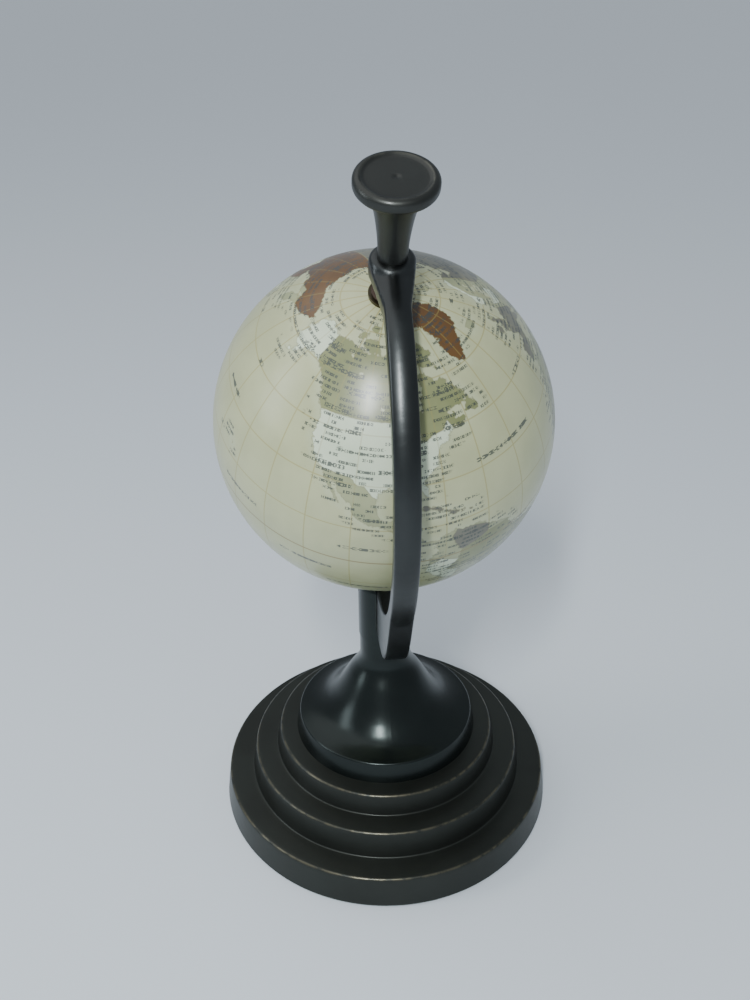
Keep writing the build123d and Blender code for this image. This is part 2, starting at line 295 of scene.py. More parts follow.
def edge_mask(tree, coords, amount):
    """1 along worn edges, broken up by noise."""
    rounded = tree.nodes.new("ShaderNodeBevel")
    rounded.samples = 4
    rounded.inputs["Radius"].default_value = edge_width
    flat = tree.nodes.new("ShaderNodeNewGeometry").outputs["Normal"]
    same = vector(tree, "DOT_PRODUCT", rounded.outputs["Normal"], flat)
    turned = calc(tree, "SUBTRACT", 1.0, same)
    patchy = noise(tree, coords, wear_scale, 3.0)
    rubbed = calc(tree, "MULTIPLY", ramp(tree, turned, 0.02, 0.22), ramp(tree, patchy, 0.34, 0.62))
    return calc(tree, "MULTIPLY", rubbed, amount)


def patinated_metal(name, deep, bloom, bare, gloss, wear, relief=0.06 * millimetre, wax=0.25, metallic=1.0):
    """Darkened metal: deep and bloom are the two tones of the bath, bare is the metal below."""
    material, tree, shader = new_material(name)
    coords = object_coords(tree)
    drift = ramp(tree, noise(tree, coords, drift_scale, 3.0), 0.32, 0.68)
    mottle = noise(tree, coords, mottle_scale, 4.0, 0.62)
    grain = noise(tree, coords, grain_scale, 2.0)
    share = calc(tree, "MULTIPLY_ADD", drift, drift_share, calc(tree, "MULTIPLY", mottle, 1 - drift_share))
    tone = mix(tree, share, deep, bloom)
    crest = ramp(tree, stored(tree, "wear"), 0.0, 1.0)
    painted = calc(tree, "MULTIPLY", crest, ramp(tree, mottle, 0.36, 0.60))
    worn = calc(tree, "MAXIMUM", edge_mask(tree, coords, wear), painted)
    plug(tree, mix(tree, worn, tone, bare), shader.inputs["Base Color"])
    shader.inputs["Metallic"].default_value = metallic
    smear = calc(tree, "MULTIPLY_ADD", mottle, gloss * mottle_roughness, gloss * least_roughness)
    speckled = calc(tree, "MULTIPLY_ADD", grain, gloss * grain_roughness, smear)
    roughness = calc(tree, "MULTIPLY_ADD", worn, -gloss * rubbed_shine, speckled)
    plug(tree, roughness, shader.inputs["Roughness"])
    shader.inputs["Coat Weight"].default_value = wax
    shader.inputs["Coat Roughness"].default_value = wax_roughness
    fine = calc(tree, "MULTIPLY", grain, 1 - mottle_relief)
    rough_cast = calc(tree, "MULTIPLY_ADD", mottle, mottle_relief, fine)
    plug(tree, bump(tree, rough_cast, relief, relief_strength), shader.inputs["Normal"])
    return material


stand_patina = patinated_metal("stand_patina", (0.024, 0.026, 0.022, 1), (0.033, 0.036, 0.031, 1),
                               (0.13, 0.115, 0.075, 1), gloss=0.38, wear=0.0, wax=0.05, metallic=0.75)
stem_patina = patinated_metal("stem_patina", (0.016, 0.020, 0.019, 1), (0.021, 0.027, 0.025, 1),
                              (0.12, 0.12, 0.09, 1), gloss=0.23, wear=0.15, relief=0.01 * millimetre,
                              wax=0.05, metallic=0.80)
arc_patina = patinated_metal("arc_patina", (0.034, 0.036, 0.036, 1), (0.048, 0.052, 0.051, 1),
                             (0.17, 0.17, 0.15, 1), gloss=0.33, wear=0.25)
finial_patina = patinated_metal("finial_patina", (0.040, 0.041, 0.037, 1), (0.056, 0.058, 0.053, 1),
                                (0.085, 0.085, 0.070, 1), gloss=0.42, wear=0.25)
aged_brass = patinated_metal("aged_brass", (0.045, 0.036, 0.020, 1), (0.080, 0.064, 0.034, 1),
                             (0.20, 0.16, 0.09, 1), gloss=0.40, wear=0.3)
plain_steel = patinated_metal("plain_steel", (0.30, 0.30, 0.29, 1), (0.44, 0.44, 0.43, 1),
                              (0.62, 0.62, 0.60, 1), gloss=0.34, wear=0.6)
print("metals", [m.name for m in bpy.data.materials])

# %% [markdown]
# ## Felt, fibre and plastic
# Small pieces are seen from below or between others, but each still has its own finish. Felt is matted
# fibre, so fine noise stretches its colour and its bump, and sheen gives it the pale bloom of cloth at a
# low angle. The washers are pressed fibre, and the shells are moulded plastic with a faint orange peel.


# %% Felt, fibre and plastic
def soft_finish(name, dark, light, scale, roughness, relief, sheen):
    """A non-metal finish of two tones with a matching relief."""
    material, tree, shader = new_material(name)
    coords = object_coords(tree)
    matted = noise(tree, coords, scale, 5.0, 0.7)
    patch = noise(tree, coords, scale / 12, 2.0)
    share = calc(tree, "MULTIPLY_ADD", patch, 0.5, calc(tree, "MULTIPLY", matted, 0.5))
    plug(tree, mix(tree, ramp(tree, share, 0.3, 0.7), dark, light), shader.inputs["Base Color"])
    plug(tree, calc(tree, "MULTIPLY_ADD", matted, 0.15, roughness), shader.inputs["Roughness"])
    shader.inputs["Sheen Weight"].default_value = sheen
    plug(tree, bump(tree, matted, relief, 0.8), shader.inputs["Normal"])
    return material


felt = soft_finish("felt", (0.010, 0.022, 0.014, 1), (0.028, 0.050, 0.034, 1),
                   scale=1900.0, roughness=0.82, relief=0.4 * millimetre, sheen=0.6)
fibre = soft_finish("fibre", (0.030, 0.016, 0.010, 1), (0.060, 0.034, 0.022, 1),
                    scale=1400.0, roughness=0.62, relief=0.1 * millimetre, sheen=0.0)
moulded_plastic = soft_finish("moulded_plastic", (0.50, 0.49, 0.40, 1), (0.56, 0.55, 0.46, 1),
                              scale=700.0, roughness=0.36, relief=0.04 * millimetre, sheen=0.0)

node_finishes = {
    "base_pad": felt,
    "stepped_base": stand_patina,
    "trumpet_stem": stem_patina,
    "meridian_arc": arc_patina,
    "finial_stem": finial_patina,
    "finial_disc": finial_patina,
    "south_cap_nut": finial_patina,
    "fork_pin": stem_patina,
    "tie_stud": plain_steel,
    "tie_washer": plain_steel,
    "tie_nut": plain_steel,
    "north_pivot_pin": plain_steel,
    "south_pivot_pin": plain_steel,
    "north_spacer": aged_brass,
    "south_spacer": aged_brass,
    "north_bush": aged_brass,
    "south_bush": aged_brass,
    "north_washer": fibre,
    "south_washer": fibre,
    "north_shell": moulded_plastic,
    "south_shell": moulded_plastic,
    "equator_band": moulded_plastic,
}
for node_name, finish in node_finishes.items():
    slots = frame["nodes"][node_name].data.materials
    slots.clear()
    slots.append(finish)
print("finished nodes", len(node_finishes))

# %% [markdown]
# ## Where the ball is
# The joint says where the spin axis stands and how it leans. Three directions are enough to talk about the
# map: towards the north pole, towards the arc's meridian, and east along the equator.

# %% The ball's own directions
spin = frame["joints"][0]
centre = Vector(spin["pos_m"])
pole = Vector(spin["axis"]).normalized()
east = Vector((0, 1, 0))
arc_side = east.cross(pole)
lean = atan2(pole.x, pole.z)
globe_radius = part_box("north_map")[1].y
map_thickness = 0.4 * millimetre
arc_longitude = -89.0
ball_place = Matrix.Translation(centre) @ Matrix.Rotation(lean, 4, "Y")
print("ball centre", [round(c, 4) for c in centre], "radius", round(globe_radius, 4))
print("lean", round(degrees(lean), 1), "degrees")

# %% [markdown]
# ## Making a mesh a piece
# Every new piece ends the same way: its faces are turned outwards, it is shaded smooth except at real
# corners, it gets its finish, and it is told which body carries it.

# %% A finished piece
finest_fold = radians(40)


def put_in_scene(bm, name, body, finish):
    """Turns a bmesh into a smooth piece that rides on a CAD body."""
    bmesh.ops.recalc_face_normals(bm, faces=bm.faces)
    piece = bpy.data.objects.new(name, bpy.data.meshes.new(name))
    bm.to_mesh(piece.data)
    bm.free()
    bpy.context.scene.collection.objects.link(piece)
    piece.data.polygons.foreach_set("use_smooth", [True] * len(piece.data.polygons))
    piece.data.set_sharp_from_angle(angle=finest_fold)
    piece.data.materials.append(finish)
    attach(piece, body)
    print(name, "has", len(piece.data.polygons), "faces")
    return piece


print("pieces are smooth across folds below", round(degrees(finest_fold)), "degrees")

# %% [markdown]
# ## Turning and wear
# A lathe cuts an outline while the work spins, and Blender's spin does the same to half a section. The
# section's corners are rounded while they are still single points, which is far easier than rounding the
# rings they become, and its long runs are divided, so that a number stored on the vertices can change along
# them. Hands rub the crests of a turned piece and never its corners, so wear is stored as nearness to
# chosen rings.

# %% Turning and wear
longest_run = 1.3 * millimetre
weld = 0.002 * millimetre
corner_segments = 6


def turn(outline, rounded, steps=192):
    """Spins a closed outline of (radius, height) round Z; rounded gives the radius of some of its corners."""
    bm = bmesh.new()
    corners = [bm.verts.new((radius, 0, height)) for radius, height in outline]
    for here, there in zip(corners, corners[1:] + corners[:1]):
        if here.co.x > 0 or there.co.x > 0:
            bm.edges.new((here, there))
    for index, radius in rounded.items():
        bmesh.ops.bevel(bm, geom=[corners[index]], offset=radius, offset_type="OFFSET", affect="VERTICES",
                        segments=corner_segments, profile=0.5, material=-1)
    for edge in bm.edges[:]:
        cuts = int(edge.calc_length() / longest_run)
        if cuts and edge.verts[0].co.x + edge.verts[1].co.x > 0:
            bmesh.ops.subdivide_edges(bm, edges=[edge], cuts=cuts)
    bmesh.ops.spin(bm, geom=bm.verts[:] + bm.edges[:], cent=(0, 0, 0), axis=(0, 0, 1), angle=2 * pi,
                   steps=steps, use_merge=True)
    bmesh.ops.remove_doubles(bm, verts=bm.verts, dist=weld)
    return bm


def wear_rings(piece, rings, width, upright):
    """Stores wear near each (radius, height) ring; upright is the matrix that stands the piece up."""
    worn = []
    for vertex in piece.data.vertices:
        place = upright @ vertex.co
        out = Vector((place.x, place.y)).length
        nearest = min(Vector((out - radius, place.z - height)).length for radius, height in rings)
        worn.append(max(0.0, 1 - nearest / width))
    attribute = piece.data.attributes.new("wear", "FLOAT", "POINT")
    attribute.data.foreach_set("value", worn)
    print(piece.name, "worn vertices", sum(value > 0 for value in worn))


print("turning and wear ready, runs up to", round(longest_run / millimetre, 1), "mm")

# %% [markdown]
# ## The turned base
# The base is one casting, finished on a lathe: three steps, each leaning in a little, with a rounded edge
# that catches the light as a thin bright line. Three stacked cones would need their seams joined, so one
# outline is turned instead. It is drawn as a hollow casting with an even wall, because the felt closes it
# from below.

# %% Turned base
tier_draft = 1.7 * millimetre
tier_edge = 0.9 * millimetre
inner_corner = 0.5 * millimetre
base_wall = 3.6 * millimetre
plinth_height = 12.4 * millimetre
second_height = 11.3 * millimetre
plinth_tread = 12.0 * millimetre
second_tread = 10.8 * millimetre
boss_radius = 13.0 * millimetre
boss_depth = 9.0 * millimetre
stud_hole = 3.3 * millimetre
spigot_hole = 9.05 * millimetre
spigot_depth = 2.45 * millimetre
pad_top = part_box("base_pad")[1].z
base_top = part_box("stepped_base")[1].z
plinth_top = pad_top + plinth_height
second_top = plinth_top + second_height
plinth_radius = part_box("stepped_base")[1].x
second_radius = plinth_radius - plinth_tread
third_radius = second_radius - second_tread
boss_bottom = base_top - base_wall - boss_depth
spigot_floor = base_top - spigot_depth
tiers = (
    (plinth_radius, pad_top, plinth_top),
    (second_radius, plinth_top, second_top),
    (third_radius, second_top, base_top),
)


def base_outline():
    """The steps going up outside, the bore going down, and the hollow's steps going down inside."""
    outline = []
    for radius, bottom, top in tiers:
        outline += [(radius, bottom), (radius - tier_draft, top)]
    outline += [(spigot_hole, base_top), (spigot_hole, spigot_floor), (stud_hole, spigot_floor),
                (stud_hole, boss_bottom), (boss_radius, boss_bottom), (boss_radius, base_top - base_wall)]
    for radius, bottom, top in reversed(tiers):
        inside = radius - tier_draft - base_wall
        outline += [(inside, top - base_wall), (inside, max(bottom - base_wall, pad_top))]
    return outline


base_rounding = {1: tier_edge, 3: tier_edge, 5: tier_edge, 2: inner_corner, 4: inner_corner}
base_mesh = turn(base_outline(), base_rounding)
base_crests = [(radius - tier_draft, top) for radius, _, top in tiers]
turned_base = put_in_scene(base_mesh, "turned_base", "stand", stand_patina)
wear_rings(turned_base, base_crests, tier_edge, Matrix.Identity(4))
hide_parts("stepped_base")

# %% [markdown]
# ## The knob
# The knob is a thick disc with a soft rim and a shallow dish in its top. It is turned upright, like the
# base, and then leaned and lifted to the end of its stem with the same matrix that leans the ball.

# %% Turned knob
knob_radius = 12.4 * millimetre
knob_thickness = 4.4 * millimetre
knob_bottom = 98.5 * millimetre
knob_top = knob_bottom + knob_thickness
knob_lower_edge = 1.5 * millimetre
knob_upper_edge = 1.7 * millimetre
knob_dish = 0.45 * millimetre
knob_bore = 3.05 * millimetre
knob_bore_depth = 2.25 * millimetre
dish_radius = 10.3 * millimetre
dish_slope = 0.9 * millimetre
dish_lip = 0.35 * millimetre
dish_corner = 0.5 * millimetre
mark_radius = 0.6 * millimetre
knob_wear = 0.6 * millimetre
knob_outline = [
    (0, knob_bottom + knob_bore_depth), (knob_bore, knob_bottom + knob_bore_depth), (knob_bore, knob_bottom),
    (knob_radius, knob_bottom), (knob_radius, knob_top), (dish_radius, knob_top),
    (dish_radius - dish_slope, knob_top - knob_dish), (mark_radius, knob_top - knob_dish),
    (0, knob_top - knob_dish - mark_radius / 2)]
knob_rounding = {3: knob_lower_edge, 4: knob_upper_edge, 5: dish_lip, 6: dish_corner}
knob_mesh = turn(knob_outline, knob_rounding, steps=128)
bmesh.ops.transform(knob_mesh, matrix=ball_place, verts=knob_mesh.verts)
turned_knob = put_in_scene(knob_mesh, "turned_knob", "stand", finial_patina)
wear_rings(turned_knob, [(dish_radius, knob_top)], knob_wear, ball_place.inverted())
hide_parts("finial_disc")

# %% [markdown]
# ## The cast arc
# The meridian arc is sand-cast: its true shape is right in the frame, but a casting has no sharp edge
# anywhere. Rounding dozens of crossing edges with bevels is fragile. Remeshing a copy into small even cells
# and letting the surface relax for a few passes rounds them all by the same fraction of a millimetre, as
# fettling does.

# %% Cast arc
cell = 0.5 * millimetre
relax_passes = 7
cad_weld = 0.001 * millimetre


def cast_copy(node, name, finish):
    """A softened copy of a CAD node of the stand, with small even faces, that stands for the node."""
    bm = bmesh.new()
    bm.from_mesh(frame["nodes"][node].data)
    bmesh.ops.remove_doubles(bm, verts=bm.verts, dist=cad_weld)
    rough = bpy.data.objects.new(name + "_rough", bpy.data.meshes.new(name + "_rough"))
    bm.to_mesh(rough.data)
    bm.free()
    bpy.context.scene.collection.objects.link(rough)
    remesh = rough.modifiers.new("cells", "REMESH")
    remesh.mode = "VOXEL"
    remesh.voxel_size = cell
    even = bpy.data.meshes.new_from_object(rough.evaluated_get(bpy.context.evaluated_depsgraph_get()))
    bm = bmesh.new()
    bm.from_mesh(even)
    for _ in range(relax_passes):
        bmesh.ops.smooth_vert(bm, verts=bm.verts, factor=0.5, use_axis_x=True, use_axis_y=True,
                              use_axis_z=True)
    bpy.data.objects.remove(rough)
    piece = put_in_scene(bm, name, "stand", finish)
    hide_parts(node)


cast_copy("meridian_arc", "cast_arc", arc_patina)

# %% [markdown]
# ## Outlines of the land
# A printed map is a drawing, so its coasts are drawn here too, as short lists of longitude and latitude in
# degrees. Each list holds only the capes, gulfs and corners that the eye knows a coast by; the fine crinkle
# between them is added later as noise in the material, which costs nothing.

# %% Coasts of the Americas
coasts = {}
coasts["north_america"] = (
    (-168, 65.6), (-162, 66.5), (-166.5, 68.3), (-156.5, 71.3), (-141, 69.6), (-128, 70), (-115, 68.2),
    (-108, 68), (-98, 68), (-94, 71.5), (-90, 69), (-86, 69.5), (-81.5, 69), (-82, 67), (-86.5, 66.3),
    (-90, 63.5), (-94.5, 60.5), (-94.5, 58.7), (-88, 56.7), (-82.3, 55.2), (-82, 52.5), (-79, 51.3),
    (-79, 54.7), (-77, 57.5), (-78, 62), (-73, 62), (-69.5, 60), (-69.5, 58.8), (-66, 58.8), (-64.7, 60.3),
    (-61.5, 57), (-57.5, 54.5), (-55.7, 52.2), (-60, 50.2), (-66.5, 50.2), (-70, 47.2), (-65, 49.2),
    (-65, 47), (-61, 46.8), (-60, 45.8), (-66, 43.5), (-64.8, 45.4), (-67, 44.8), (-70.5, 43), (-70, 41.7),
    (-74, 40.6), (-76, 38), (-75.5, 35.2), (-78.5, 33.9), (-81.3, 31.5), (-80.3, 27), (-80.5, 25.2),
    (-82.8, 28), (-84, 30), (-89, 30.3), (-89.3, 29), (-91.5, 29.4), (-94, 29.6), (-97.3, 27.8),
    (-97.7, 22.5), (-96, 19), (-94.5, 18.2), (-91, 18.7), (-90.3, 21), (-87, 21.4), (-88.2, 17.8),
    (-88.5, 15.9), (-83.3, 15), (-83.7, 11), (-81.5, 8.9), (-79.5, 9.5), (-77.4, 8.6), (-78.2, 7.4),
    (-80.4, 7.4), (-83.6, 8.5), (-85.8, 10.3), (-87.7, 13), (-92.3, 14.6), (-95, 16.1), (-99.8, 16.7),
    (-105.6, 20.4), (-105.5, 22.7), (-109.4, 26), (-112.5, 29.8), (-114.7, 31.7), (-112.8, 28),
    (-109.5, 23.1), (-112.2, 25.5), (-114.2, 27.8), (-115.9, 30.3), (-117.2, 32.6), (-120.6, 34.5),
    (-122.5, 37.5), (-124.3, 40.4), (-124, 46), (-124.6, 48.4), (-123, 49), (-127.5, 51), (-130.3, 54.8),
    (-133.5, 58), (-139.6, 59.6), (-146, 60.8), (-151.8, 59.4), (-151, 61), (-154, 58.6), (-158.5, 56),
    (-164.8, 54.6), (-160, 56.5), (-157.4, 58.7), (-162, 58.7), (-165.8, 61.2), (-164.5, 63), (-161, 64.4),
    (-166.3, 64.6))
coasts["south_america"] = (
    (-77.4, 8.6), (-75.5, 10.6), (-71.7, 12.4), (-71.5, 10.9), (-68, 11.2), (-62, 10.7), (-60, 8.3),
    (-52, 4.8), (-50, 1), (-48.5, -1), (-44, -2.6), (-39, -3.3), (-35.2, -6), (-35, -9), (-39, -13),
    (-39, -18), (-41, -22), (-45, -23.5), (-48.6, -26), (-50, -29.5), (-53.5, -34), (-57.5, -35),
    (-57.5, -38), (-62.2, -39), (-65, -41), (-64, -42.5), (-67.4, -46), (-65.8, -47.5), (-69, -51.5),
    (-65.2, -54.8), (-71, -54.5), (-74.5, -50), (-74, -44), (-73.5, -38), (-71.5, -30), (-70.3, -20),
    (-76, -14), (-81.2, -5.5), (-80, -2.5), (-80, 0.8), (-77.3, 4), (-78.2, 7.4))
coasts["greenland"] = (
    (-73, 78.3), (-60, 82), (-32, 83.6), (-18, 80), (-20, 74), (-24, 70.5), (-33, 67.5), (-41, 63),
    (-43.8, 59.9), (-49, 61.5), (-53.5, 66.5), (-51, 69.5), (-55, 72.5), (-60, 76), (-68, 76))
coasts["baffin"] = (
    (-64, 61.8), (-66, 63), (-78, 64.5), (-73, 67.5), (-80, 70), (-89.5, 71), (-85, 73.5), (-76, 72.5),
    (-67.5, 69.5), (-61.8, 66.5), (-68, 66), (-64, 63.5))
coasts["ellesmere"] = (
    (-89, 76.5), (-78, 76.4), (-75, 78.8), (-62, 82.4), (-82, 83), (-91, 81.5), (-95, 80.5), (-87, 79.5))
coasts["victoria"] = ((-117, 69), (-101.5, 68.5), (-105, 72.5), (-118, 72.5))
coasts["banks"] = ((-125, 72), (-120, 71.5), (-118, 74), (-124, 74.3))
coasts["melville"] = ((-116, 75), (-106, 75), (-105, 77), (-115, 77))
coasts["devon"] = ((-92, 75), (-80, 74.6), (-82, 75.7), (-92, 76.6))
coasts["southampton"] = ((-86, 64), (-81, 64), (-84, 66), (-86, 65.5))
coasts["newfoundland"] = ((-59.3, 47.6), (-53, 46.7), (-52.7, 48.5), (-55.5, 51.5), (-57.5, 50.3))
coasts["vancouver"] = ((-123.5, 48.4), (-125.5, 48.8), (-128, 50.7), (-126, 50.2), (-124, 49.2))
coasts["cuba"] = ((-84.9, 21.9), (-82, 23.1), (-77, 21.7), (-74.2, 20.2), (-77.5, 19.9), (-78, 21))
coasts["hispaniola"] = ((-74.4, 18.4), (-73, 19.9), (-68.4, 18.7), (-71.5, 17.8))
coasts["jamaica"] = ((-78.3, 18.4), (-76.3, 18.2), (-77, 17.8))
coasts["puerto_rico"] = ((-67.2, 18.4), (-65.7, 18.4), (-65.9, 18), (-67.2, 18))
coasts["hawaii"] = ((-156, 20.2), (-154.9, 19.5), (-155.7, 18.9))
coasts["oahu"] = ((-158.2, 21.5), (-157.6, 21.3), (-157.9, 21.8))
coasts["iceland"] = ((-24, 65.5), (-22.5, 63.9), (-18.5, 63.4), (-13.7, 65), (-16, 66.4), (-21, 66))
print("American coasts", len(coasts), "with", sum(len(c) for c in coasts.values()), "points")

# %% Coasts of Europe, Africa and Asia
coasts["eurasia"] = (
    (25, 71), (31, 70.3), (41, 67), (33, 66.5), (38, 64.3), (44, 66), (44, 68.5), (54, 68.5), (60.5, 69.8),
    (68, 68.5), (67, 71.5), (70, 73), (73, 71.5), (74, 68), (78, 72.3), (87, 75), (104, 77.7), (113, 73.8),
    (127, 72.5), (140, 72.5), (152, 71), (160, 69.6), (170, 69.9), (180, 69), (190.2, 66.1), (186, 64.4),
    (180, 62.5), (170, 60), (163.5, 58), (162, 55), (156.7, 51), (155.7, 56), (163.5, 61.8), (155, 59.5),
    (143, 59.3), (135.3, 54.7), (141.3, 53), (140.3, 48.5), (135.5, 44.5), (132, 43.2), (129.7, 41),
    (127.5, 39.5), (129.4, 37), (129.2, 35.2), (126.4, 34.4), (126.7, 37.5), (125, 39.7), (121.2, 39),
    (121, 40.8), (118, 39), (122.4, 37.2), (119.3, 35), (121.9, 31.5), (121, 28), (118, 24.5),
    (114, 22.3), (110.3, 21), (108, 21.6), (106, 19), (109.2, 13.5), (107, 10.4), (105, 8.6), (105, 10.2),
    (102, 12.3), (100.5, 13.4), (99.3, 9.3), (103.3, 4.5), (104, 1.4), (101, 2.8), (100, 6.5), (98.2, 9),
    (97.6, 16.3), (94.3, 16), (92, 21.5), (88.5, 21.8), (86.8, 20.5), (82.3, 16.7), (80.2, 15), (80, 11),
    (77.6, 8.1), (75, 12), (72.8, 19.5), (72.6, 21.3), (70, 21), (68.8, 22.4), (67, 24.8), (61.6, 25.1),
    (57, 27), (51.5, 27.8), (48.8, 30.2), (48, 29.4), (50.2, 26.5), (51.5, 24.5), (56.3, 26.2),
    (59.8, 22.5), (57, 18.9), (52, 15.7), (45, 12.8), (43.3, 12.8), (42.6, 16.5), (39, 21.5), (35, 28),
    (34.5, 29.5), (32.5, 30), (32.3, 31.2), (34.3, 31.3), (35.8, 35.5), (36.1, 36.8), (31, 36.4),
    (27.3, 36.8), (26.5, 39.3), (26.2, 40.8), (23.5, 40.3), (24, 38), (22.8, 36.5), (21.3, 37.7),
    (19.4, 41.5), (13.7, 45.5), (12.4, 44.5), (16, 41.8), (18.4, 40), (16.6, 38), (15.7, 40), (11, 42.4),
    (8.8, 44.4), (4, 43.5), (3.2, 42), (-0.3, 39.3), (-2.1, 36.8), (-5.6, 36), (-8.9, 37), (-9.4, 38.8),
    (-9, 43), (-1.8, 43.4), (-1.2, 46), (-4.7, 48.4), (-1.5, 49.6), (1.7, 50.9), (4.7, 53), (8.6, 53.9),
    (8.1, 56.9), (10.5, 57.6), (10.9, 54.4), (14.3, 53.9), (19, 54.4), (21, 57), (24, 57.3), (23.5, 59.2),
    (30, 59.8), (22, 60.2), (21.5, 63.2), (25.4, 65.1), (21.5, 64.5), (17.2, 61), (18.8, 59.8),
    (16.5, 57.5), (14.3, 55.5), (12.8, 55.6), (11.2, 59), (8, 58), (5.2, 59.5), (5, 62), (10, 64),
    (14, 67.8), (19, 70))
coasts["africa"] = (
    (32.5, 30), (35, 27), (35.5, 24), (37.3, 21), (39.7, 15.3), (43.3, 11.5), (51.2, 11.9), (48, 4.5),
    (42, -1), (39, -5), (40.5, -11), (40.5, -15), (35, -20), (35.5, -24), (32.8, -26), (31, -30),
    (25.7, -34), (20, -34.8), (18.3, -33.5), (17, -29.5), (15, -26.5), (12, -18), (13.7, -12), (12.3, -6),
    (9, -1), (9.7, 3.9), (5, 5.8), (4.3, 6.3), (-2, 4.8), (-7.7, 4.4), (-13, 8.5), (-16.7, 12.5),
    (-17.4, 14.8), (-16.3, 19), (-17, 21), (-13, 27.8), (-9.7, 30), (-5.9, 35.8), (-2, 35.1), (10, 37.3),
    (11, 35), (10.2, 34), (15.3, 32.3), (20, 30.8), (20.1, 32.8), (23, 32.6), (29, 30.9), (32.3, 31.2))
coasts["madagascar"] = ((49.3, -12), (50.2, -16), (47, -25), (44, -25), (43.5, -21.5), (44.5, -16))
coasts["britain"] = (
    (-5.5, 50.1), (1.3, 51.2), (0.3, 53), (-1.8, 55.6), (-2, 57.6), (-5, 58.6), (-6, 56.5), (-3, 54),
    (-5, 52))
coasts["ireland"] = ((-10, 52), (-6.3, 52.2), (-6, 55), (-8.5, 55), (-10, 54))
coasts["svalbard"] = ((11, 79), (17, 76.7), (22, 78.5), (20, 80.2))
coasts["novaya_zemlya"] = ((52, 71), (57, 71), (60, 75), (68, 76.8), (57, 74.5))
coasts["sakhalin"] = ((142.3, 53.5), (143.3, 50), (144.5, 49), (142.7, 46.3), (142, 50))
coasts["honshu"] = (
    (130.9, 34), (132.8, 35.5), (136.7, 37.3), (139.5, 38.5), (140.3, 41.2), (142, 39.5), (140.8, 35.8),
    (138.8, 34.7), (135.8, 33.5))
coasts["hokkaido"] = ((140, 42), (141.7, 45.4), (145.5, 43.3), (143.3, 42), (141, 42.5))
coasts["kyushu"] = ((129.7, 33), (131.7, 33.5), (131, 31.3), (130.2, 31.3))
coasts["taiwan"] = ((120.2, 23), (121.6, 25.2), (120.9, 22))
coasts["sri_lanka"] = ((79.8, 8), (80.2, 9.8), (81.8, 7), (80.5, 6))
coasts["luzon"] = ((120.5, 18.5), (122.2, 18.4), (121.6, 15.5), (124, 12.8), (120.6, 13.8), (119.9, 16))
coasts["mindanao"] = ((122, 7), (125.4, 9.8), (126.5, 7.5), (125.5, 5.8), (124, 6.8))
coasts["borneo"] = (
    (109.5, 2), (111.5, 1.6), (113, 3.2), (116.7, 7), (119, 5.2), (117.8, 1), (116, -4), (111, -3.3),
    (109.2, -0.5))
coasts["sumatra"] = ((95.3, 5.6), (98, 4.3), (103.5, 0), (106, -3), (105.7, -5.9), (102, -4), (98.7, 1.5))
coasts["java"] = ((105.3, -6.8), (108, -6.5), (112.7, -7), (114.5, -8.6), (109, -7.8))
coasts["sulawesi"] = (
    (119, -3.5), (120, 1), (125, 1.4), (121, 0.2), (123, -1), (121.5, -4.8), (120.4, -5.5), (119.5, -5.5))
coasts["new_guinea"] = (
    (131, -0.8), (134, -1), (135, -3.3), (138, -1.6), (144, -3.9), (147.8, -6.2), (150.8, -10.4),
    (147, -9.5), (143, -9.1), (138, -8.3), (138, -7), (133, -4))
print("coasts", len(coasts), "with", sum(len(c) for c in coasts.values()), "points")

# %% Coasts of the south, and the inland seas
coasts["australia"] = (
    (114, -22), (117, -20.6), (122, -18), (124.5, -16), (129.5, -15), (131, -12), (136.8, -12),
    (135.7, -15), (139.5, -17.6), (141.5, -14), (142.5, -10.8), (145.3, -15), (146.3, -19), (150, -22.5),
    (153.2, -26), (153, -31), (150, -37.4), (146.3, -39), (143.5, -38.7), (139.7, -36.5), (137.8, -33),
    (135.5, -34.8), (131, -31.6), (124, -33), (118, -35), (115, -34.3), (115.7, -31.5), (113.7, -26))
coasts["tasmania"] = ((144.7, -40.8), (148.3, -41), (147, -43.5), (145.8, -43))
coasts["north_island"] = (
    (172.8, -34.5), (175.5, -36.6), (178.4, -37.7), (176.8, -40), (175, -41.5), (173.8, -39.3),
    (174.7, -37.5))
coasts["south_island"] = (
    (172.7, -40.6), (174.2, -41.8), (171.2, -44.3), (170.5, -46), (168.3, -46.6), (166.6, -45.8),
    (170.8, -42.7))
coasts["antarctica"] = (
    (-181, -78), (-150, -77), (-130, -74), (-100, -72), (-75, -73), (-67, -67), (-57, -63.3), (-61, -68),
    (-62, -75), (-40, -78), (-20, -73.5), (0, -70), (30, -69), (60, -67), (90, -66.3), (120, -66.7),
    (145, -67), (165, -72), (167, -77.5), (181, -78), (181, -90), (-181, -90))
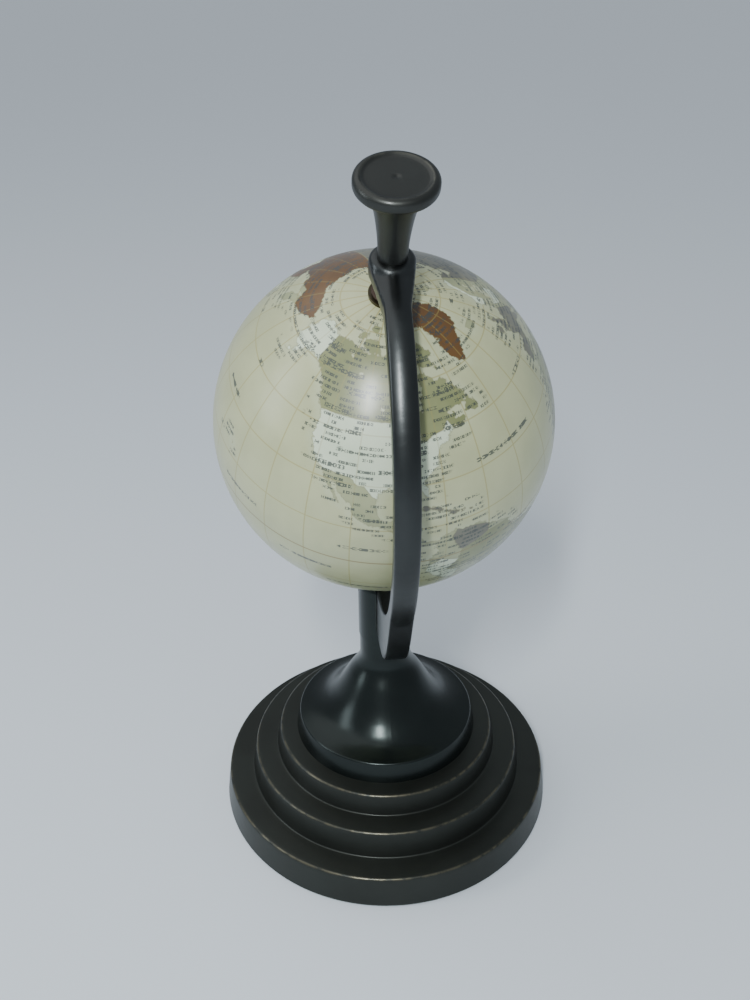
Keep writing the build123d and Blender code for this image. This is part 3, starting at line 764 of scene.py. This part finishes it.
inland_seas = (
    ((28, 41.5), (30.5, 46), (34, 46), (33.5, 44.5), (38.5, 46.8), (37, 44.8), (41.5, 41.8), (36, 41.5)),
    ((47, 44.5), (50.5, 46.8), (53, 45.3), (50.5, 44.3), (53, 41), (53.8, 37), (50, 37.4), (49.3, 40.5)),
    ((-92, 46.7), (-88.5, 48.5), (-84.7, 46.8), (-87.5, 46.5)),
    ((-87.8, 42), (-87.5, 44.8), (-85, 45.9), (-86.3, 43.5), (-86.8, 41.8)),
    ((-84.5, 45.8), (-80.5, 45.8), (-81.7, 43.3), (-83.5, 43.8)),
    ((-83.3, 41.7), (-79, 42.8), (-81.5, 41.6)),
    ((-79.7, 43.4), (-76.3, 44), (-76.4, 43.5)),
    ((-99, 53.6), (-97.8, 53.8), (-96.6, 50.6), (-97.5, 51.5)),
    ((-124, 66.8), (-119, 66.6), (-121, 65.2)),
    ((-116, 61.2), (-110, 62.6), (-112, 61.3)),
    ((104, 51.6), (109.5, 55.5), (106.5, 52.5)),
    ((31.8, 0.4), (34, 0.2), (33.5, -2.5), (32, -2.4)),
)
print("all coast points", sum(len(c) for c in coasts.values()), "and inland seas", len(inland_seas))

# %% [markdown]
# ## Tints of the countries
# The printer used five quiet tints. Grey-green covers land by default, and the other four are drawn as
# rough polygons that may run out over the sea, because only their part on land is ever coloured.

# %% Tinted regions
tints = {}
tints["olive"] = (
    ((-141, 75), (-141, 60.3), (-137.5, 58.9), (-130, 55.9), (-134, 54), (-125.5, 48.3), (-123, 49),
     (-95, 49), (-89, 48.2), (-84.5, 46.5), (-82.5, 42.6), (-79, 42.9), (-76.5, 44.2), (-71.5, 45),
     (-69, 47.4), (-67.6, 45.5), (-66.8, 44.5), (-50, 42), (-50, 60), (-60, 68), (-73, 77), (-60, 83.5),
     (-120, 84)),
    ((-60, 5), (-50, 4.5), (-33, -5), (-38, -20), (-50, -30), (-53.5, -33.8), (-57.5, -30), (-54, -25.5),
     (-58, -20), (-60, -14), (-65, -10), (-73.5, -9), (-70, -4), (-69.5, 1), (-63, 3.5)),
    ((-18, 15), (-12, 15), (-5, 16), (4, 20), (15, 23), (24, 20), (24, 10), (15, 7), (8, 4), (-10, 3)),
    ((68, 24), (74, 34), (79, 33), (81, 29), (88, 27), (97, 28), (92, 21), (88, 20), (80, 5), (70, 18)),
    ((-10, 43), (-1.5, 43.4), (3.3, 42.4), (8, 44), (7, 49), (2, 51.5), (-6, 48.5)),
    ((97, 18), (102, 22), (110, 21), (110, 8), (100, 5)),
)
tints["mint"] = (
    ((-170, 72), (-141, 71), (-141, 60.3), (-137.5, 58.9), (-130, 55.9), (-134, 54), (-170, 51)),
    ((-126, 48.6), (-123, 49), (-95, 49), (-89, 48.2), (-84.5, 46.5), (-82.5, 42.6), (-79, 42.9),
     (-76.5, 44.2), (-71.5, 45), (-69, 47.4), (-67.6, 45.5), (-66.8, 44.5), (-68, 38), (-78, 24),
     (-84, 26), (-97.3, 25.9), (-99.3, 27), (-102, 29.8), (-104.5, 29.6), (-106.5, 31.8), (-114.7, 32.6),
     (-119, 32.4), (-127, 40)),
    ((-76, -1), (-70, -4), (-73.5, -9), (-69, -12), (-69.5, -18), (-72, -18), (-84, -6)),
    ((-58, -20), (-54, -25.5), (-57.5, -30), (-50, -36), (-60, -56), (-69, -52), (-72, -48), (-70, -33),
     (-68, -24), (-65, -22)),
    ((9, 38), (12, 30), (25, 32), (34, 31), (37, 22), (24, 20), (15, 23), (9, 30)),
    ((74, 38), (80, 45), (87, 49), (96, 43), (110, 42), (118, 48), (125, 53), (131, 48), (131, 42),
     (124, 39), (125, 20), (108, 18), (98, 28), (88, 28), (79, 33)),
    ((10, 55), (15, 50), (24, 50), (24, 55), (19, 56)),
    ((12, -6), (25, -8), (33, -8), (41, -11), (36, -25), (25, -22), (12, -17)),
    ((4, 58), (12, 59), (11.5, 64), (20, 68.5), (29, 70), (20, 73), (2, 63)),
    ((135, 30), (148, 44), (138, 46), (128, 34)),
)
tints["rust"] = (
    ((-75, 84), (-76, 79), (-60, 75), (-58, 65), (-45, 57), (-15, 70), (-10, 84)),
    ((106, 50), (104, 80), (180, 82), (192, 70), (186, 62), (172, 59), (158, 62.5), (143, 57), (137, 44),
     (131, 43), (131, 48), (125, 53), (118, 50)),
    ((110, -9), (155, -9), (156, -45), (110, -40)),
    ((34, 29), (36, 33), (39, 32), (47, 29), (60, 25), (60, 20), (45, 11), (33, 26)),
    ((14, -17), (25, -18), (33, -23), (33, -36), (15, -36)),
)
tints["slate"] = (
    ((28, 60), (32, 70), (60, 82), (104, 80), (106, 50), (98, 50), (87, 49), (70, 54), (55, 51), (47, 49),
     (39, 48), (33, 52), (28, 56)),
    ((-10, 36), (3.3, 42.4), (12, 37), (16, 46), (8, 54), (-10, 59)),
    ((-73, 9), (-71, 12.5), (-60, 9), (-60, 5), (-63, 3.5), (-69.5, 1), (-72, 6)),
    ((-84, 24), (-66, 21), (-66, 17), (-79, 17)),
)
print("tinted regions", {tint: len(regions) for tint, regions in tints.items()})

# %% [markdown]
# ## Distance to a line
# A coast could be painted by giving each face a colour, but then it would show the faces as a saw edge.
# Instead each vertex stores how many degrees it lies inside or outside the line. Between two vertices that
# number runs evenly, so its zero is a clean line, much finer than the mesh.


# %% Signed distance
reach = 7.0
least_run = 1e-12
past_date_line = 181


def signed_distance(outline, longitude, latitude):
    """Degrees from each place to a closed outline, positive inside, and never more than reach."""
    corners = np.array(outline, float)
    found = np.full(longitude.shape, -reach)
    near = (latitude > corners[:, 1].min() - reach) & (latitude < corners[:, 1].max() + reach)
    x = longitude[near]
    y = latitude[near]
    narrow = np.cos(np.radians(y))
    nearest = np.full(x.shape, reach)
    inside = np.zeros(x.shape, bool)
    for (ax, ay), (bx, by) in zip(corners, np.roll(corners, -1, axis=0)):
        run_x = (bx - ax) * narrow
        run_y = by - ay
        off_x = (x - ax) * narrow
        off_y = y - ay
        share = np.clip((off_x * run_x + off_y * run_y) / (run_x**2 + run_y**2 + least_run), 0, 1)
        nearest = np.minimum(nearest, np.hypot(off_x - share * run_x, off_y - share * run_y))
        if ay != by:
            inside ^= ((ay > y) != (by > y)) & (x < ax + (bx - ax) * (y - ay) / (by - ay))
    found[near] = np.where(inside, nearest, -nearest)
    return found


def union(outlines, longitude, latitude):
    """The largest of several signed distances, with outlines that pass the date line met from both sides."""
    found = np.full(longitude.shape, -reach)
    for outline in outlines:
        found = np.maximum(found, signed_distance(outline, longitude, latitude))
        if max(corner[0] for corner in outline) > past_date_line:
            found = np.maximum(found, signed_distance(outline, longitude + 360, latitude))
    return found


print("distance helper ready, reach", reach, "degrees")

# %% [markdown]
# ## The two printed halves
# The ball is moulded as two half shells, and each carries its own printed half of the map, so the print is
# two pieces that meet at the equator. A UV sphere is the natural start: its rows are parallels and its
# columns are meridians. It is cut at the equator and at the hole for the bush, given the thickness of
# varnished paper, and the rim at the equator is rounded a hair, which makes the fine joint line of a real
# globe.

# %% Printed halves
columns = 360
rows = 180
pole_hole = 5.05 * millimetre
rim_round = 0.1 * millimetre


def half_ball(side):
    """One half of the printed map, upright about Z, with north at +Z and the arc's meridian at +X."""
    bm = bmesh.new()
    bmesh.ops.create_uvsphere(bm, u_segments=columns, v_segments=rows, radius=globe_radius)
    everything = bm.verts[:] + bm.edges[:] + bm.faces[:]
    bmesh.ops.bisect_plane(bm, geom=everything, plane_co=(0, 0, 0), plane_no=(0, 0, -side), clear_outer=True)
    everything = bm.verts[:] + bm.edges[:] + bm.faces[:]
    hole_level = side * (globe_radius**2 - pole_hole**2) ** 0.5
    bmesh.ops.bisect_plane(bm, geom=everything, plane_co=(0, 0, hole_level), plane_no=(0, 0, side),
                           clear_outer=True)
    bmesh.ops.recalc_face_normals(bm, faces=bm.faces)
    bmesh.ops.solidify(bm, geom=bm.faces[:], thickness=map_thickness)
    rim = [edge for edge in bm.edges
           if all(abs(v.co.z) < rim_round and v.co.length > globe_radius - rim_round for v in edge.verts)]
    bmesh.ops.bevel(bm, geom=rim, offset=rim_round, affect="EDGES", segments=2, profile=0.5, material=-1)
    return bm


def store_map(piece):
    """Stores on each vertex how far inside each coast and each tint it lies, in degrees."""
    places = np.array([v.co for v in piece.data.vertices], float) - np.array(centre)
    along = places @ np.array((arc_side, east, pole)).T
    longitude = np.degrees(np.arctan2(along[:, 1], along[:, 0])) + arc_longitude
    longitude = (longitude + 180) % 360 - 180
    latitude = np.degrees(np.arctan2(along[:, 2], np.hypot(along[:, 0], along[:, 1])))
    land = np.minimum(union(coasts.values(), longitude, latitude),
                      -union(inland_seas, longitude, latitude))
    fields = {"land": land}
    for tint, regions in tints.items():
        fields[tint] = union(regions, longitude, latitude)
    for field, values in fields.items():
        attribute = piece.data.attributes.new(field, "FLOAT", "POINT")
        attribute.data.foreach_set("value", values.astype(np.float32))
    print(piece.name, "is", round(float((land > 0).mean()) * 100), "% land by vertices")


print("half balls of", columns, "by", rows // 2, "faces")

# %% [markdown]
# ## The map's ink
# The material asks two things of each point. The stored distances say which tint it is on and where a coast
# runs. Latitude and longitude, worked out from the Object coordinates, say where the grid lines run. The
# tiny place labels of the real map are only rows of dark strokes here, made from stretched noise, so they
# read as fine print from a hand's breadth away and say nothing.


# %% Places, lines and inks
def latitude_longitude(tree):
    """Latitude, longitude and the cosine of the latitude, of the point being coloured."""
    away = vector(tree, "SUBTRACT", object_coords(tree), tuple(centre))
    out = vector(tree, "NORMALIZE", away)
    north_share, east_share, arc_share = (vector(tree, "DOT_PRODUCT", out, tuple(direction))
                                          for direction in (pole, east, arc_side))
    latitude = calc(tree, "MULTIPLY", calc(tree, "ARCSINE", north_share), degrees(1))
    bearing = calc(tree, "MULTIPLY", calc(tree, "ARCTAN2", east_share, arc_share), degrees(1))
    narrow = calc(tree, "SQRT", calc(tree, "SUBTRACT", 1.0, calc(tree, "MULTIPLY", north_share, north_share)))
    return latitude, calc(tree, "ADD", bearing, arc_longitude), narrow


def grid_line(tree, value, step, half_width, narrow=1.0):
    """1 on every multiple of step, for a line of the same real width everywhere."""
    off = calc(tree, "MULTIPLY", calc(tree, "PINGPONG", value, step / 2), narrow)
    return calc(tree, "SUBTRACT", 1.0, ramp(tree, off, half_width, half_width * 1.9))


def line_at_zero(tree, value, solid, gone):
    """1 where a value is nearly 0, fading from solid to gone on both sides."""
    return calc(tree, "SUBTRACT", 1.0, ramp(tree, calc(tree, "ABSOLUTE", value), solid, gone))


def inked(tree, ground, mask, share, ink):
    """The ground with an ink over it where the mask is 1, as strongly as share says."""
    return mix(tree, calc(tree, "MULTIPLY", mask, share), ground, ink)


def joined(tree, *values):
    """Three numbers as one vector."""
    node = tree.nodes.new("ShaderNodeCombineXYZ")
    for value, socket in zip(values, node.inputs):
        plug(tree, value, socket)
    return node.outputs[0]


print("lines and inks ready")

# %% [markdown]
# ## Rows of fine marks
# Each row has its own band of latitude. Slow noise along the row says where there is a word, and fast noise
# breaks the word into strokes. Both are measured along the middle of the row, so the strokes keep their
# width near the poles.

# %% Rows of fine marks
row_fade = 0.12
row_shift = 7.31
word_fade = 0.02
stroke_range = (0.43, 0.50)
stroke_change = 2.4


def print_rows(tree, latitude, longitude, pitch, tall, word_rate, stroke_rate, words, seed):
    """Rows of strokes tall degrees high, every pitch degrees, with words where noise is above words."""
    row = calc(tree, "FLOOR", calc(tree, "DIVIDE", latitude, pitch))
    middle = calc(tree, "MULTIPLY", calc(tree, "ADD", row, 0.5), pitch)
    narrow = calc(tree, "COSINE", calc(tree, "MULTIPLY", middle, radians(1)))
    along = calc(tree, "MULTIPLY", longitude, narrow)
    off = calc(tree, "ABSOLUTE", calc(tree, "SUBTRACT", latitude, middle))
    in_row = calc(tree, "SUBTRACT", 1.0, ramp(tree, off, tall / 2, tall / 2 + row_fade))
    row_seed = calc(tree, "MULTIPLY_ADD", row, row_shift, seed)
    word = noise(tree, joined(tree, calc(tree, "MULTIPLY", along, word_rate), row_seed, 0.0), 1.0, 0.0)
    stroke_at = joined(tree, calc(tree, "MULTIPLY", along, stroke_rate), row_seed,
                       calc(tree, "MULTIPLY", off, stroke_change))
    stroke = noise(tree, stroke_at, 1.0, 0.0)
    in_word = ramp(tree, word, words, words + word_fade)
    in_stroke = ramp(tree, stroke, *stroke_range)
    return calc(tree, "MULTIPLY", calc(tree, "MULTIPLY", in_word, in_stroke), in_row)


print("rows of marks ready")

# %% [markdown]
# ## Colours and strengths of the print
# Old varnish turns a white sea cream and dulls every tint, so no colour here is pure. Each tint is a pair,
# one darker and one lighter, which a slow wash moves between. An ink never covers fully: the share says how
# much. A line is a pair of degrees, where its ink is still solid and where it is gone, and the edges of the
# shelf, the shore and the tints are pairs of degrees inside the coast, where they begin and where they are
# full. Each kind of marks has such a pair too, and then its rows: pitch and height in degrees, words and
# strokes per degree, and the level of noise above which there is a word.

# %% Colours and strengths of the print
ocean_cream = (0.44, 0.45, 0.255, 1)
ocean_shade = (0.40, 0.41, 0.23, 1)
tint_colours = {
    "olive": ((0.175, 0.190, 0.075, 1), (0.225, 0.240, 0.105, 1)),
    "mint": ((0.530, 0.600, 0.430, 1), (0.590, 0.650, 0.480, 1)),
    "rust": ((0.090, 0.038, 0.005, 1), (0.120, 0.054, 0.008, 1)),
    "slate": ((0.120, 0.115, 0.080, 1), (0.160, 0.155, 0.110, 1)),
}
land_green = ((0.270, 0.290, 0.150, 1), (0.330, 0.345, 0.190, 1))
grid_ink = (0.300, 0.250, 0.070, 1)
coast_ink = (0.180, 0.170, 0.080, 1)
shelf_tint = (0.50, 0.56, 0.40, 1)
equator_ink = (0.22, 0.17, 0.06, 1)
label_ink = (0.030, 0.038, 0.036, 1)
shelf_share = 0.22
sea_grid_share = 0.62
land_grid_share = 0.30
border_share = 0.50
coast_share = 0.45
equator_share = 0.75
label_share = 0.86
grid_step = 15.0
grid_half_width = 0.13
border_line = (0.06, 0.26)
coast_line = (0.08, 0.30)
equator_line = (0.22, 0.36)
shelf = (-3.2, -0.2)
shore = (-0.08, 0.10)
tint_edge = (-0.08, 0.08)
border_crinkle = 0.25
wash_range = (0.3, 0.7)
wash_scale = 90.0
crinkle_scale = 640.0
crinkle_degrees = 1.5
varnish_scale = 500.0
paper_scale = 420.0
paper_relief = 0.06 * millimetre
marks = (
    ("small print", -4.6, -3.4,
     {"pitch": 1.75, "tall": 0.80, "word_rate": 0.17, "stroke_rate": 3.0, "words": 0.485, "seed": 3.7}),
    ("names on land", -0.4, 0.8,
     {"pitch": 5.3, "tall": 1.15, "word_rate": 0.10, "stroke_rate": 1.75, "words": 0.56, "seed": 41.3}),
    ("names at sea", -4.5, -5.5,
     {"pitch": 13.0, "tall": 1.15, "word_rate": 0.045, "stroke_rate": 0.85, "words": 0.56, "seed": 17.9}),
)
print("tints", len(tint_colours), "and kinds of marks", [kind for kind, _, _, _ in marks])

# %% [markdown]
# ## Sea, land and marks
# A print is made in layers, and so is this material: the sea with its grid, the land with its tints and
# borders, and last the marks. Each layer is a function that hands back its colour or its mask, and the
# land's own mask then chooses between sea and land.


# %% Sea, land and marks
def printed_sea(tree, wash, land, grid):
    """Cream sea, paler over the shelves along the coasts, with the grid over it."""
    sea = mix(tree, wash, ocean_cream, ocean_shade)
    sea = inked(tree, sea, ramp(tree, land, *shelf), shelf_share, shelf_tint)
    return inked(tree, sea, grid, sea_grid_share, grid_ink)


def printed_land(tree, wash, crinkle, grid):
    """Tinted countries with their borders, and the grid over them."""
    ground = mix(tree, wash, *land_green)
    borders = 0.0
    for tint, (dark, light) in tint_colours.items():
        edge = calc(tree, "MULTIPLY_ADD", crinkle, border_crinkle, stored(tree, tint))
        ground = mix(tree, ramp(tree, edge, *tint_edge), ground, mix(tree, wash, dark, light))
        borders = calc(tree, "MAXIMUM", borders, line_at_zero(tree, edge, *border_line))
    ground = inked(tree, ground, borders, border_share, coast_ink)
    return inked(tree, ground, grid, land_grid_share, grid_ink)


def printed_marks(tree, latitude, longitude):
    """1 on every stroke, each kind of marks only where it belongs, by its distance to the coast."""
    ink = 0.0
    for _, gone, full, sizes in marks:
        rows_of_kind = print_rows(tree, latitude, longitude, **sizes)
        where = ramp(tree, stored(tree, "land"), gone, full)
        ink = calc(tree, "MAXIMUM", ink, calc(tree, "MULTIPLY", rows_of_kind, where))
    return ink


print("sea, land and marks ready")

# %% [markdown]
# ## Varnished paper
# The layers are put together here. The same crinkle is added to every stored distance before a coast, a
# shelf or a border is drawn from it, so all of them follow the same small bays. Varnish is a thin clear
# coat over uneven paper.


# %% Varnished paper
def make_map_paper():
    """The print under its varnish."""
    material, tree, shader = new_material("printed_map")
    coords = object_coords(tree)
    latitude, longitude, narrow = latitude_longitude(tree)
    wash = ramp(tree, noise(tree, coords, wash_scale, 3.0), *wash_range)
    crinkle = calc(tree, "MULTIPLY_ADD", noise(tree, coords, crinkle_scale, 4.0, 0.62),
                   2 * crinkle_degrees, -crinkle_degrees)
    land = calc(tree, "ADD", stored(tree, "land"), crinkle)
    meridians = grid_line(tree, longitude, grid_step, grid_half_width, narrow)
    parallels = grid_line(tree, latitude, grid_step, grid_half_width)
    grid = calc(tree, "MAXIMUM", meridians, parallels)
    colour = mix(tree, ramp(tree, land, *shore), printed_sea(tree, wash, land, grid),
                 printed_land(tree, wash, crinkle, grid))
    colour = inked(tree, colour, line_at_zero(tree, land, *coast_line), coast_share, coast_ink)
    colour = inked(tree, colour, line_at_zero(tree, latitude, *equator_line), equator_share, equator_ink)
    colour = inked(tree, colour, printed_marks(tree, latitude, longitude), label_share, label_ink)
    plug(tree, colour, shader.inputs["Base Color"])
    varnish = noise(tree, coords, varnish_scale, 3.0)
    plug(tree, calc(tree, "MULTIPLY_ADD", varnish, 0.10, 0.33), shader.inputs["Roughness"])
    shader.inputs["Coat Weight"].default_value = 0.50
    shader.inputs["Coat Roughness"].default_value = 0.24
    paper = noise(tree, coords, paper_scale, 3.0)
    plug(tree, bump(tree, paper, paper_relief, 0.35), shader.inputs["Normal"])
    return material


map_paper = make_map_paper()
print("varnished paper has", len(map_paper.node_tree.nodes), "nodes")

# %% [markdown]
# ## Printing the halves
# Both halves share the one finish. The numbers that it reads are stored on each half after the half is
# leaned, because longitude and latitude are measured from the leaned pole.

# %% Print the halves
for side, half_name, replaced in ((1, "north_print", "north_map"), (-1, "south_print", "south_map")):
    half = half_ball(side)
    bmesh.ops.transform(half, matrix=ball_place, verts=half.verts)
    printed = put_in_scene(half, half_name, "globe", map_paper)
    store_map(printed)
    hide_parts(replaced)
